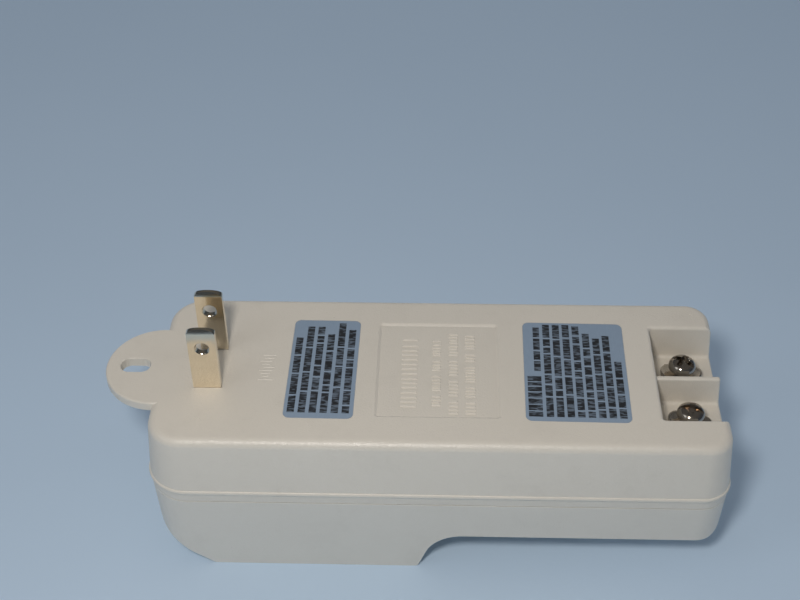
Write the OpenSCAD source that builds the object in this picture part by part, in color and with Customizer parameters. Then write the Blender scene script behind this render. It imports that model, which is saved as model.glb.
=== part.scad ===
// Plug-in wall transformer (class 2 power unit) with two screw terminals.
// Lies on its outer cover, blades up. X runs from the fixing tab to the terminals.

/* [Casing] */
// Length of the wall-side face
body_l = 129.3; // [120:0.1:140]
// Width of the wall-side face
body_w = 48.2; // [46:0.1:54]
// Depth of the thick section, from the wall-side face to the flat outer face
body_h = 41.3; // [38:0.1:48]
// Depth of the thin section under the terminals
thin_h = 29.6; // [26:0.1:32]
// Drop from the wall-side face to the widest line of the casing
ridge_drop = 15.3; // [12:0.1:17]
// Height of the band between the widest line and the seam
band_h = 2.9; // [2:0.1:4]
// Moulded wall thickness
wall = 2.2; // [1.8:0.1:2.6]
// Outward draft of the wall-side cover, in degrees
draft_top = 5; // [3:0.5:6]
// Inward draft of the outer cover's sides and terminal end, in degrees
draft_low = 2.3; // [1:0.1:4]
// Inward draft of the outer cover's tab end, in degrees
draft_tab = 4.3; // [2:0.1:6]
// Plan radius of the two corners at the tab end
tab_corner_r = 8; // [6:0.5:10]
// Plan radius of the two corners at the terminal end
end_corner_r = 5.5; // [4:0.5:8]
// Radius of the edge around the wall-side face
edge_r = 2.1; // [1:0.1:3]
// How far the bead stands out at the widest line
bead = 0.3; // [0.1:0.05:0.5]
// Height of the joining lip of the outer cover
lip_h = 2; // [1:0.1:3]
// Thickness of the joining lip
lip_t = 1; // [0.8:0.1:1.2]

/* [Stepped outer face] */
// From the tab-end wall to the start of the flat
flat_from_end = 12.3; // [10:0.1:14]
// Length of the flat that the unit rests on
flat_l = 47.9; // [44:0.1:50]
// Slope of the chamfer between the flat and the tab end, in degrees
chamfer_a = 38.5; // [30:0.5:45]
// Radius between the chamfer and the tab-end wall
knee_r = 7.8; // [4:0.1:9]
// Lean of the step's riser from the vertical, in degrees
riser_a = 19.7; // [10:0.1:30]
// Radius of the hollow between the riser and the thin section
step_r = 8.9; // [6:0.1:10]
// Radius of the lower edge at the terminal end
toe_r = 4; // [3:0.1:5]
// Radius at the two ends of the flat
flat_edge_r = 1; // [0.5:0.1:1.5]

/* [Fixing tab] */
// Radius of the round tab
tab_r = 12.4; // [10:0.1:14]
// Thickness of the tab
tab_t = 2.4; // [2:0.1:3]
// Length of the screw slot
slot_l = 7; // [6.5:0.1:8]
// Width of the screw slot
slot_w = 4.4; // [4.3:0.1:5]
// From the tab-end wall to the middle of the slot
slot_from_end = 5.6; // [5:0.1:6.5]

/* [Blades] */
// Width of a blade
blade_w = 6.35; // [6.2:0.01:6.5]
// Thickness of a blade
blade_t = 1.52; // [1.4:0.01:1.65]
// Distance between the middles of the blades
blade_pitch = 12.7; // [12.6:0.01:12.8]
// How far the blades stand out of the face
blade_out = 17.5; // [15.9:0.1:18.2]
// Length of the bevelled tip
tip_l = 1.25; // [0.8:0.05:1.6]
// Thickness left at the tip
tip_t = 0.7; // [0.5:0.05:1]
// Diameter of the hole through each blade
blade_hole_d = 3.18; // [3:0.01:3.3]
// Height of that hole above the face
blade_hole_h = 12; // [11.5:0.1:12.5]
// From the tab-end wall to the blades
blade_from_end = 12.1; // [11:0.1:13]

/* [Labels and panel] */
// Length and width of the label near the blades
small_label = [15.7, 32.4];
// Length and width of the label near the terminals
large_label = [23.5, 32.4];
// Length and width of the sunk panel
panel = [28.3, 31];
// From the blades to the middles of the two labels and of the panel
small_label_x = 25.9; // [24:0.1:28]
// Middle of the large label
large_label_x = 84.0; // [80:0.1:86]
// Middle of the panel
panel_x = 52.5; // [50:0.1:54]
// Depth of the panel
panel_d = 0.4; // [0.2:0.05:0.6]
// Thickness of the label stock
label_t = 0.12; // [0.08:0.01:0.2]
// Corner radius of the labels
label_r = 1.5; // [1:0.1:2]

/* [Terminals] */
// Length of the terminal recess, from the terminal-end wall
bay_l = 14.7; // [14:0.1:16]
// Width of the recess over both bays
bay_w = 30.1; // [28:0.1:32]
// Depth of the recess
bay_d = 9.4; // [8:0.1:10]
// Thickness of the divider between the bays
divider_t = 1.3; // [1:0.1:2]
// How far the divider's top lies below the face
divider_drop = 1.7; // [0:0.1:3]
// From the terminal-end wall to the screws
screw_from_end = 7.1; // [6.5:0.1:7.5]
// Major diameter of the screw thread
screw_d = 3.5; // [3.4:0.01:3.6]
// Radial running clearance of the screw in its plate
screw_gap = 0.05; // [0.02:0.01:0.08]
// Length of the screw under its head
screw_l = 7.9; // [7:0.1:9]
// Diameter of the plain neck that the clamp washer is captive on
neck_d = 2.9; // [2.7:0.05:3]
// Space between the head and the washer with the screw backed off
head_gap = 1.7; // [0:0.1:2]
// Diameter of the screw head
head_d = 6.6; // [6.4:0.1:7.2]
// Height of the screw head
head_h = 2.6; // [2:0.1:2.8]
// Length over the clamp washer's ears
washer_d = 9.8; // [9:0.1:10.5]
// Width of the clamp washer
washer_w = 6; // [6:0.1:7.5]
// Thickness of the clamp washer
washer_t = 0.8; // [0.6:0.05:0.9]
// Thickness of the threaded terminal plate
plate_t = 1; // [0.8:0.1:1.2]

/* [Transformer] */
// From the blades to the middle of the core
core_from_blades = 24; // [23:0.1:25]
// Length of the core, across its three legs
core_l = 48; // [46:0.5:48]
// Width of the core, along its legs
core_w = 40; // [38:0.5:41]
// Height of the lamination stack
stack_h = 18; // [16:0.5:19]
// Width of the middle leg
leg_w = 16; // [14:0.5:17]
// Width of the outer legs and of the yokes
yoke_w = 8; // [7:0.5:8]
// Height of the middle of the core above the flat
core_z = 19.9; // [19.5:0.1:20.2]
// Diameter of the thermal fuse
fuse_d = 2.4; // [2:0.1:2.5]
// Diameter of a primary lead over its insulation
primary_lead_d = 1.3; // [1.1:0.1:1.4]
// Diameter of a secondary lead over its insulation
secondary_lead_d = 1.6; // [1.4:0.1:1.8]

/* [Hidden] */
$fn = 64;

// Smoothness of the hulled casing corners and of its rounded edge
hull_fn = 32;
edge_steps = 4;
// A cut runs this far past what it cuts
over = 1;
// Clearance between pieces that touch
gap = 0.1;

// Heights above the flat that the unit rests on
face_z = body_h;
ridge_z = face_z - ridge_drop;
seam_z = ridge_z - band_h;
thin_z = face_z - thin_h;
floor_z = face_z - bay_d;

// Stations along X: the overall length, tab included, is centred on the origin
flare = ridge_drop * tan(draft_top);
overall_l = tab_r + body_l + flare + bead;
x_tab = tab_r - overall_l / 2;
x_end = x_tab + body_l;
blade_x = x_tab + blade_from_end;
bay_x = x_end - bay_l;
screw_x = x_end - screw_from_end;
screw_y = (divider_t + bay_w) / 4;
core_x = blade_x + core_from_blades;

// Blade parts inside the casing
shoulder_w = 8.6;
shoulder_h = 2;
tail_w = 4;
tail_end = 9.5;
retainer = [13.6, 24, 2];

// Terminal parts inside the casing
tray_t = 2;
boss_r = 3.2;
pocket_r = 2.1;
pocket_h = 6.6;
pocket_floor = 1;
plate = [7, 7];
tail_t = 0.9;
plate_tail = [3, 4];
tail_x = screw_x - plate[0] / 2 - tail_t / 2;
ear_rise = 0.4;
ear_start = 3.6;
plate_top = floor_z + plate_t;

// Bobbin and windings
former_t = 0.9;
flange_t = 0.8;
window_l = core_w - 2 * yoke_w;
flange_x = leg_w / 2 + yoke_w - 0.3;
flange_z = stack_h / 2 + 7.5;
section_split = 1.5;
winding_in = 0.5;
tape_t = 0.25;
coil_side = core_x - flange_x + winding_in - tape_t;

// Thermal fuse: its two wires, and the middle of its can
fuse_l = 8;
fuse_wire_d = 0.7;
fuse_wire_l = 3;
fuse_at = [coil_side - fuse_d / 2 - gap, -5, 33];

// Colours
ivory = [0.87, 0.84, 0.76];
nickel = [0.78, 0.76, 0.70];
label_grey = [0.60, 0.66, 0.71];
steel = [0.52, 0.52, 0.54];
copper = [0.72, 0.40, 0.20];
tape_yellow = [0.85, 0.70, 0.25];

// ---- Outline helpers ------------------------------------------------------

function unit(v) = v / norm(v);
function left_normal(a, b) = let (d = unit(b - a)) [-d.y, d.x];
function cyclic(p, i) = p[(i + len(p)) % len(p)];

// Corner b of the polygon a-b-c, moved inward by s from both of its sides
function inset_corner(a, b, c, s) =
    let (n = left_normal(a, b), m = left_normal(b, c)) b + s * (n + m) / (1 + n * m);
function inset(p, s) =
    [for (i = [0:len(p) - 1]) inset_corner(cyclic(p, i - 1), p[i], cyclic(p, i + 1), s)];

// Arc of radius r that rounds corner b between the sides a-b and b-c
function rounded_corner(a, b, c, r, steps = 8) =
    let (u = unit(a - b), v = unit(c - b), half = acos(u * v) / 2,
         centre = b + unit(u + v) * r / sin(half), from = b + u * r / tan(half) - centre,
         to = b + v * r / tan(half) - centre, turn = cross(from, to) > 0 ? 1 : -1,
         sweep = turn * acos(from * to / (r * r)))
    [for (i = [0:steps]) let (t = sweep * i / steps)
        centre + [from.x * cos(t) - from.y * sin(t), from.x * sin(t) + from.y * cos(t)]];
function rounded(p, radii) =
    [for (i = [0:len(p) - 1]) each radii[i] == 0 ? [p[i]]
        : rounded_corner(cyclic(p, i - 1), p[i], cyclic(p, i + 1), radii[i])];

module rounded_rect(size, r) {
    square([size[0] - 2 * r, size[1]], center = true);
    square([size[0], size[1] - 2 * r], center = true);
    for (sx = [-1, 1], sy = [-1, 1])
        translate([sx * (size[0] / 2 - r), sy * (size[1] / 2 - r)]) circle(r);
}

// A slab of the rounded rectangle, standing on z
module rounded_slab(size, r, h) linear_extrude(h) rounded_rect(size, r);

// The same slab stood up, with its thickness along Y from y0 to y1
module standing_slab(size, r, y0, y1)
    translate([0, y1, 0]) rotate([90, 0, 0]) linear_extrude(y1 - y0) rounded_rect(size, r);

// ---- Casing skin: convex forms hulled over the four plan corners ------------

// Places its children at each plan corner, with $r the corner's radius at the face
module at_corners() {
    for (s = [-1, 1]) {
        translate([x_tab + tab_corner_r, s * (body_w / 2 - tab_corner_r), 0]) {
            $r = tab_corner_r;
            children();
        }
        translate([x_end - end_corner_r, s * (body_w / 2 - end_corner_r), 0]) {
            $r = end_corner_r;
            children();
        }
    }
}

// Radius of a corner at height z on the two drafted sides
function top_r(r, z) = r + (face_z - z) * tan(draft_top);
function low_r(r, z) = r + flare - (ridge_z - z) * tan(draft_low);

function cap_profile(r) =
    let (cx = top_r(r, face_z - edge_r) - edge_r / cos(draft_top))
    concat([[0, ridge_z], [r + flare, ridge_z]],
           [for (i = [0:edge_steps]) let (t = draft_top + (90 - draft_top) * i / edge_steps)
               [cx + edge_r * cos(t), face_z - edge_r + edge_r * sin(t)]],
           [[0, face_z]]);
function bead_profile(r) =
    [[0, ridge_z - 2 * bead], [r + flare - bead, ridge_z - 2 * bead],
     [r + flare + bead, ridge_z - bead / 2], [r + flare + bead, ridge_z + bead / 2],
     [r + flare - bead, ridge_z + 2 * bead], [0, ridge_z + 2 * bead]];
function band_profile(r) =
    [[0, seam_z], [low_r(r, seam_z), seam_z], [r + flare, ridge_z], [0, ridge_z]];
function cavity_profile(r) =
    [[0, seam_z - over], [r + flare - wall, seam_z - over], [r + flare - wall, ridge_z],
     [top_r(r, face_z - wall) - wall, face_z - wall], [0, face_z - wall]];
function low_profile(r, s, z0, z1) = [[0, z0], [low_r(r, z0) - s, z0], [low_r(r, z1) - s, z1], [0, z1]];

module cap_form() hull() at_corners() rotate_extrude($fn = hull_fn) polygon(cap_profile($r));
module bead_form() hull() at_corners() rotate_extrude($fn = hull_fn) polygon(bead_profile($r));
module band_form() hull() at_corners() rotate_extrude($fn = hull_fn) polygon(band_profile($r));
module cavity_form() hull() at_corners() rotate_extrude($fn = hull_fn) polygon(cavity_profile($r));
module low_form(s, z0, z1)
    hull() at_corners() rotate_extrude($fn = hull_fn) polygon(low_profile($r, s, z0, z1));
// Straight-sided form inside the wall-side cover's mouth, s inside its skin
module lip_form(s, z0, z1)
    hull() at_corners() translate([0, 0, z0]) cylinder(r = $r + flare - s, h = z1 - z0, $fn = hull_fn);

// ---- Wall-side cover ----------------------------------------------------------

module bay_at(s) translate([screw_x, s * screw_y, 0]) children();

module terminal_tray()
    translate([bay_x - wall, -bay_w / 2 - wall, floor_z - tray_t])
        cube([bay_l + wall + 2 * flare, bay_w + 2 * wall, bay_d + tray_t]);

module terminal_bays() {
    bay = [bay_l + 2 * flare, (bay_w - divider_t) / 2, bay_d + over];
    translate([bay_x, divider_t / 2, floor_z]) cube(bay);
    translate([bay_x, -divider_t / 2 - bay[1], floor_z]) cube(bay);
    translate([bay_x, -bay_w / 2, face_z - divider_drop]) cube([bay[0], bay_w, divider_drop + over]);
}

module screw_boss(s)
    bay_at(s) translate([0, 0, floor_z - pocket_h - pocket_floor])
        cylinder(r = boss_r, h = pocket_h);

module screw_pocket(s)
    bay_at(s) translate([0, 0, floor_z - pocket_h]) cylinder(r = pocket_r, h = pocket_h + over);

module tail_slot(s)
    translate([tail_x, s * screw_y, floor_z - tray_t / 2])
        cube([tail_t + 2 * gap, plate_tail[0] + 2 * gap, tray_t + over], center = true);

module retainer_ribs() {
    rib = 1.2;
    depth = shoulder_h + retainer[2];
    translate([blade_x, 0, face_z - wall - depth / 2]) difference() {
        cube([retainer[0] + 2 * (rib + gap), retainer[1] + 2 * (rib + gap), depth], center = true);
        cube([retainer[0] + 2 * gap, retainer[1] + 2 * gap, depth + over], center = true);
    }
}

module blade_slots()
    for (s = [-1, 1])
        translate([blade_x, s * blade_pitch / 2, face_z])
            cube([blade_w + gap, blade_t + gap, 2 * wall + over], center = true);

module fixing_tab()
    translate([x_tab, 0, face_z - tab_t]) cylinder(r = tab_r, h = tab_t, $fn = 96);

module fixing_slot()
    translate([x_tab - slot_from_end, 0, face_z - tab_t - over]) {
        for (s = [-1, 1])
            translate([s * (slot_l - slot_w) / 2, 0, 0]) cylinder(d = slot_w, h = tab_t + 2 * over);
        translate([-(slot_l - slot_w) / 2, -slot_w / 2, 0])
            cube([slot_l - slot_w, slot_w, tab_t + 2 * over]);
    }

module sunk_panel()
    translate([blade_x + panel_x - panel[0] / 2, -panel[1] / 2, face_z - panel_d])
        cube([panel[0], panel[1], panel_d + over]);

// Shallow pocket that brings a label level with the face
module label_pocket(x, size)
    translate([blade_x + x, 0, face_z - label_t])
        rounded_slab(size + [2, 2] * gap, label_r + gap, label_t + over);

module wall_cover() color(ivory)
    difference() {
        union() {
            cap_form();
            bead_form();
            band_form();
            fixing_tab();
        }
        difference() {
            cavity_form();
            terminal_tray();
            retainer_ribs();
            for (s = [-1, 1]) screw_boss(s);
        }
        terminal_bays();
        for (s = [-1, 1]) {
            screw_pocket(s);
            tail_slot(s);
        }
        blade_slots();
        fixing_slot();
        sunk_panel();
        label_pocket(small_label_x, small_label);
        label_pocket(large_label_x, large_label);
    }

// ---- Outer cover ----------------------------------------------------------------

// X of the outer cover's two end walls at height z
function end_wall_x(z) = x_end + flare - (ridge_z - z) * tan(draft_low);
function tab_wall_x(z) = x_tab - flare + (ridge_z - z) * tan(draft_tab);

flat_x0 = x_tab + flat_from_end;
flat_x1 = flat_x0 + flat_l;
// Where the chamfer's line meets the tab-end wall's line
knee_z = (flat_x0 - tab_wall_x(0)) / (1 / tan(chamfer_a) - tan(draft_tab));

// Sharp side outline, counter-clockwise from the terminal end's top
function side_corners(top_z) =
    [[tab_wall_x(top_z), top_z], [tab_wall_x(knee_z), knee_z], [flat_x0, 0], [flat_x1, 0],
     [flat_x1 + thin_z * tan(riser_a), thin_z], [end_wall_x(thin_z), thin_z],
     [end_wall_x(top_z), top_z]];
side_radii = [0, knee_r, flat_edge_r, flat_edge_r, step_r, toe_r, 0];
inner_radii = [0, knee_r - wall, 0, 0, step_r + wall, toe_r - wall, 0];

module side_form(outline) translate([0, body_w, 0]) rotate([90, 0, 0]) linear_extrude(2 * body_w)
    polygon(outline);

module core_posts() {
    post = [5, 5];
    under_core = core_z - stack_h / 2;
    guide_t = 1.6;
    for (sx = [-1, 1], sy = [-1, 1])
        translate([core_x + sx * (core_l - post[0]) / 2, sy * (core_w - post[1]) / 2, 0]) {
            translate([-post[0] / 2, -post[1] / 2, 0]) cube([post[0], post[1], under_core - gap]);
            translate([sx * (post[0] + guide_t + 2 * gap) / 2 - guide_t / 2, -post[1] / 2, 0])
                cube([guide_t, post[1], under_core + stack_h / 3]);
        }
}

module outer_cover() color(ivory) {
    difference() {
        intersection() {
            side_form(rounded(side_corners(seam_z), side_radii));
            low_form(0, -over, seam_z);
        }
        difference() {
            intersection() {
                side_form(rounded(inset(side_corners(face_z), wall), inner_radii));
                low_form(wall, -over, seam_z + over);
            }
            core_posts();
        }
    }
    difference() {
        union() {
            lip_form(wall + gap, seam_z - gap, seam_z + lip_h);
            low_form(wall / 2, seam_z - wall, seam_z);
        }
        lip_form(wall + gap + lip_t, seam_z - wall - over, seam_z + lip_h + over);
    }
}

// ---- Blades -----------------------------------------------------------------------

function tip_arc(steps = 8) =
    [for (i = [0:steps]) let (x = blade_w * (0.5 - i / steps), u = 2 * x / blade_w)
        [x, blade_out - 0.9 * (1 - sqrt(1 - 0.75 * u * u)) / 0.5]];

module blade(s) color(nickel)
    translate([blade_x, s * blade_pitch / 2, face_z]) difference() {
        intersection() {
            rotate([90, 0, 0]) linear_extrude(blade_t, center = true) polygon(concat(
                [[-blade_w / 2, -wall - gap], [-shoulder_w / 2, -wall - gap],
                 [-shoulder_w / 2, -wall - shoulder_h], [-tail_w / 2, -wall - shoulder_h],
                 [-tail_w / 2, -tail_end], [tail_w / 2, -tail_end],
                 [tail_w / 2, -wall - shoulder_h], [shoulder_w / 2, -wall - shoulder_h],
                 [shoulder_w / 2, -wall - gap], [blade_w / 2, -wall - gap]], tip_arc()));
            rotate([90, 0, 90]) linear_extrude(2 * shoulder_w, center = true) polygon(
                [[-blade_t / 2, -tail_end - over], [blade_t / 2, -tail_end - over],
                 [blade_t / 2, blade_out - tip_l], [tip_t / 2, blade_out],
                 [-tip_t / 2, blade_out], [-blade_t / 2, blade_out - tip_l]]);
        }
        translate([0, 0, blade_hole_h]) rotate([90, 0, 0])
            cylinder(d = blade_hole_d, h = blade_t + 2 * over, center = true);
    }

module blade_retainer() color("dimgray")
    translate([blade_x, 0, face_z - wall - shoulder_h - gap - retainer[2] / 2]) difference() {
        cube(retainer, center = true);
        for (s = [-1, 1])
            translate([0, s * blade_pitch / 2, 0])
                cube([tail_w + 2 * gap, blade_t + 2 * gap, retainer[2] + over], center = true);
    }

// ---- Labels --------------------------------------------------------------------------

module label(x, size) color(label_grey)
    translate([blade_x + x, 0, face_z - label_t]) rounded_slab(size, label_r, label_t);

// ---- Transformer ------------------------------------------------------------------------

module at_core() translate([core_x, 0, core_z]) children();

module e_laminations() color(steel)
    at_core() difference() {
        translate([-core_l / 2, -core_w / 2, -stack_h / 2]) cube([core_l, core_w - yoke_w, stack_h]);
        for (s = [-1, 1])
            translate([s * (leg_w + yoke_w) / 2, over / 2, 0])
                cube([yoke_w, window_l + over, stack_h + over], center = true);
    }

module i_laminations() color(steel)
    at_core() translate([-core_l / 2, core_w / 2 - yoke_w, -stack_h / 2])
        cube([core_l, yoke_w, stack_h]);

module leg_hole(s) cube([leg_w + 2 * s, window_l + over, stack_h + 2 * s], center = true);

module flange(y) standing_slab([2 * flange_x, 2 * flange_z], 1, y - flange_t / 2, y + flange_t / 2);

module bobbin() color("ivory")
    at_core() difference() {
        union() {
            cube([leg_w + 2 * (former_t + 2 * gap), window_l - 2 * gap,
                  stack_h + 2 * (former_t + 2 * gap)], center = true);
            for (s = [-1, 1]) flange(s * (window_l / 2 - gap - flange_t / 2));
            flange(section_split);
        }
        leg_hole(2 * gap);
    }

// A rounded ring of wire or tape around the former, between y0 and y1
module wound_ring(outer, inner, r, y0, y1)
    difference() {
        standing_slab(outer, r, y0, y1);
        translate([0, (y0 + y1) / 2, 0]) cube([inner[0], y1 - y0 + over, inner[1]], center = true);
    }

former = [leg_w + 2 * (former_t + 2 * gap), stack_h + 2 * (former_t + 2 * gap)];
coil = [2 * (flange_x - winding_in), 2 * (flange_z - winding_in)];
coil_y = window_l / 2 - gap - flange_t;
primary_y = [-coil_y, section_split - flange_t / 2];
secondary_y = [section_split + flange_t / 2, coil_y];
coil_r = 3;

module winding(y) color(copper) at_core()
    wound_ring(coil, former + [gap, gap], coil_r, y[0] + gap, y[1] - gap);

module tape(y) color(tape_yellow) at_core()
    difference() {
        standing_slab(coil + [2, 2] * tape_t, coil_r + tape_t, y[0] + gap, y[1] - gap);
        standing_slab(coil, coil_r, y[0], y[1]);
    }

// Lies across the primary's left side, with a wire out of each end
module thermal_fuse() color("lightgray")
    translate([fuse_at[0], fuse_at[1], fuse_at[2]]) rotate([90, 0, 0]) {
        cylinder(d = fuse_d, h = fuse_l, center = true);
        cylinder(d = fuse_wire_d, h = fuse_l + 2 * fuse_wire_l, center = true);
    }

module insulation_sheet() color("tan") {
    sheet_t = 0.3;
    translate([core_x, 0, face_z - wall - sheet_t - gap / 2])
        rounded_slab([2 * flange_x, window_l + 8], 2, sheet_t);
}

module base_pad() color("gray")
    translate([core_x, 0, wall]) rounded_slab([24, window_l - 2], 2,
                                              core_z - flange_z - wall - gap / 2);

// ---- Leads --------------------------------------------------------------------------------

// Point at t between p1 and p2 on the smooth curve through p0, p1, p2 and p3
function smooth(p0, p1, p2, p3, t) =
    p1 + 0.5 * t * (p2 - p0 + t * (2 * p0 - 5 * p1 + 4 * p2 - p3 + t * (3 * (p1 - p2) + p3 - p0)));
function curve(p, steps) =
    let (n = len(p), q = concat([2 * p[0] - p[1]], p, [2 * p[n - 1] - p[n - 2]]))
    concat([for (i = [0:n - 2], j = [0:steps - 1])
               smooth(q[i], q[i + 1], q[i + 2], q[i + 3], j / steps)], [p[n - 1]]);

// Round tube of diameter d along the route, square to it at every ring
module tube(route, d, sides = 8) {
    p = curve(route, 3);
    n = len(p);
    along = [for (i = [0:n - 1]) unit(p[min(i + 1, n - 1)] - p[max(i - 1, 0)])];
    ring = [for (i = [0:n - 1])
        let (u = unit(cross(along[i], [0, 0.3, 1])), v = cross(along[i], u))
        each [for (k = [0:sides - 1]) let (a = 360 * k / sides)
            p[i] + d / 2 * (u * cos(a) + v * sin(a))]];
    sides_faces = [for (i = [0:n - 2], k = [0:sides - 1])
        [i * sides + k, i * sides + (k + 1) % sides,
         (i + 1) * sides + (k + 1) % sides, (i + 1) * sides + k]];
    first = [for (k = [0:sides - 1]) sides - 1 - k];
    last = [for (k = [0:sides - 1]) (n - 1) * sides + k];
    polyhedron(ring, concat([first], sides_faces, [last]));
}

// From the front blade's tail to the start of the primary, under the fuse
module primary_lead_front() color("white") {
    y = -blade_pitch / 2;
    tube([[blade_x + tail_w / 2 + gap, y, fuse_at[2]],
          [blade_x + tail_w, y, fuse_at[2] - 0.4],
          [coil_side - 1.6, y, fuse_at[2] - 2.4],
          [coil_side - gap, y, fuse_at[2] - 2.5]], primary_lead_d);
}

// From the back blade's tail to the fuse
module primary_lead_back() color("black") {
    y = blade_pitch / 2;
    wire_end = fuse_at[1] + fuse_l / 2 + fuse_wire_l;
    tube([[blade_x + tail_w / 2 + gap, y, fuse_at[2]],
          [blade_x + tail_w + 0.6, y - 0.1, fuse_at[2]],
          [fuse_at[0] - 0.2, wire_end + 2.4, fuse_at[2]],
          [fuse_at[0], wire_end + gap, fuse_at[2]]], primary_lead_d);
}

// From the side of the secondary winding to the tail of a terminal plate
module secondary_lead(s) color(s > 0 ? "red" : "saddlebrown") {
    tail_z = floor_z - tray_t - 2.4;
    tube([[core_x + flange_x + 1, 5 + s * 2, core_z + stack_h / 2 + 4],
          [core_x + core_l / 2, 5 + s * 3, core_z + stack_h / 2 + 4],
          [core_x + core_l / 2 + 14, s * 5, face_z - 13],
          [tail_x - 12, s * 7.4, tail_z + 1.5],
          [tail_x - 5, s * screw_y, tail_z],
          [tail_x - tail_t / 2 - gap, s * screw_y, tail_z]], secondary_lead_d);
}

// ---- Terminals --------------------------------------------------------------------------------

module terminal_plate(s) color(nickel) {
    bay_at(s) translate([0, 0, floor_z]) difference() {
        translate([-plate[0] / 2, -plate[1] / 2, 0]) cube([plate[0], plate[1], plate_t]);
        translate([0, 0, -over]) cylinder(r = screw_d / 2 + screw_gap, h = plate_t + 2 * over);
    }
    translate([tail_x - tail_t / 2, s * screw_y - plate_tail[0] / 2, floor_z - tray_t - plate_tail[1]])
        cube([tail_t, plate_tail[0], tray_t + plate_tail[1] + plate_t]);
}

// Flat washer with rounded, upturned ends that keep the wire under the head
module clamp_washer(s) color(nickel) bay_at(s) translate([0, 0, plate_top]) {
    turn = s > 0 ? -4 : -13;
    ear_end = washer_d / 2;
    rotate([0, 0, turn]) difference() {
        intersection() {
            rotate([90, 0, 0]) linear_extrude(washer_w, center = true) polygon(
                [[-ear_start, 0], [ear_start, 0], [ear_end, ear_rise], [ear_end, ear_rise + washer_t],
                 [ear_start, washer_t], [-ear_start, washer_t],
                 [-ear_end, ear_rise + washer_t], [-ear_end, ear_rise]]);
            cylinder(d = washer_d, h = 2 * ear_rise + washer_t);
        }
        translate([0, 0, -over]) cylinder(r = neck_d / 2 + gap, h = washer_t + 2 * over);
    }
}

// Round head with a slot and a cross recess, over a plain neck and shank
module terminal_screw(s) color(nickel)
    bay_at(s) translate([0, 0, plate_top + washer_t + head_gap]) {
        rim_h = 0.5;
        crown = head_h - rim_h;
        crown_r = (head_d * head_d / 4 + crown * crown) / (2 * crown);
        crown_a = asin(head_d / 2 / crown_r);
        neck_l = head_gap + washer_t + gap / 2;
        slot = [head_d + over, 1, 1.1];
        recess = [3.8, 1, 1.7];
        difference() {
            union() {
                rotate_extrude() polygon(concat([[0, 0], [head_d / 2, 0]],
                    [for (i = [0:8]) let (t = crown_a * (1 - i / 8))
                        [crown_r * sin(t), head_h - crown_r * (1 - cos(t))]]));
                translate([0, 0, -screw_l]) cylinder(d = screw_d, h = screw_l - neck_l);
                translate([0, 0, -screw_l]) cylinder(d = neck_d, h = screw_l + rim_h / 2);
            }
            rotate([0, 0, s > 0 ? -35 : -17]) {
                translate([0, 0, head_h - slot[2] / 2 + over / 2])
                    cube([slot[0], slot[1], slot[2] + over], center = true);
                for (a = [0, 90])
                    rotate([0, 0, a]) translate([0, 0, head_h - recess[2] / 2 + over / 2])
                        cube([recess[0], recess[1], recess[2] + over], center = true);
            }
        }
    }

wall_cover();
outer_cover();
blade(-1);  // blade_front
blade(1);  // blade_back
blade_retainer();
label(small_label_x, small_label);
label(large_label_x, large_label);
e_laminations();
i_laminations();
bobbin();
winding(primary_y);  // primary_winding
winding(secondary_y);  // secondary_winding
tape(primary_y);  // primary_tape
tape(secondary_y);  // secondary_tape
thermal_fuse();
insulation_sheet();
base_pad();
primary_lead_front();
primary_lead_back();
secondary_lead(-1);  // secondary_lead_front
secondary_lead(1);  // secondary_lead_back
terminal_plate(-1);  // terminal_plate_front
terminal_plate(1);  // terminal_plate_back
clamp_washer(-1);  // clamp_washer_front
clamp_washer(1);  // clamp_washer_back
terminal_screw(-1);  // terminal_screw_front
terminal_screw(1);  // terminal_screw_back
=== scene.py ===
"""Plug-in wall transformer with screw terminals: the looks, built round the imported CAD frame.

Shapes are made in millimetres and turned into metres when a piece is finished. Materials, the
camera and the studio are in metres.
"""
import math
import bmesh
import bpy
from mathutils import Matrix, Vector


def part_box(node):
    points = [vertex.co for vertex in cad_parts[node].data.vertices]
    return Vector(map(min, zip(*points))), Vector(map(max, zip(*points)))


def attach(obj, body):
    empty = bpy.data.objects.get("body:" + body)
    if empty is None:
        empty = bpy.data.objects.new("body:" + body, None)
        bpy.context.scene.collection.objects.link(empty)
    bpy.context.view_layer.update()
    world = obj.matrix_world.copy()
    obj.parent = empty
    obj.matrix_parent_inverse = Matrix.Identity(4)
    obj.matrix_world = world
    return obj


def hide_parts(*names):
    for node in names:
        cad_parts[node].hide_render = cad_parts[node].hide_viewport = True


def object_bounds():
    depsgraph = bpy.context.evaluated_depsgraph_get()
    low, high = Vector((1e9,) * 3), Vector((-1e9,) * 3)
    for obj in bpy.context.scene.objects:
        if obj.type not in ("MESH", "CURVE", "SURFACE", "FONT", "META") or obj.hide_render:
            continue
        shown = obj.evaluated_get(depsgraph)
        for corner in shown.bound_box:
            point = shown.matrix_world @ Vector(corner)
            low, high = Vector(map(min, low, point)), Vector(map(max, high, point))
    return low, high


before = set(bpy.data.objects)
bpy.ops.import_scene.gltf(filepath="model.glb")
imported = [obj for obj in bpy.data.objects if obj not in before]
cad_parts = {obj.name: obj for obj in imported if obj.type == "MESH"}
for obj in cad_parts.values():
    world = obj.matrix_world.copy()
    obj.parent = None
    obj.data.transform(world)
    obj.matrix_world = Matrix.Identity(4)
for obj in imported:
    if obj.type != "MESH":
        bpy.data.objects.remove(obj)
cad_box = [list(corner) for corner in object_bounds()]

MM = 0.001


def box_mm(node):
    low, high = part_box(node)
    return low / MM, high / MM


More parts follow.
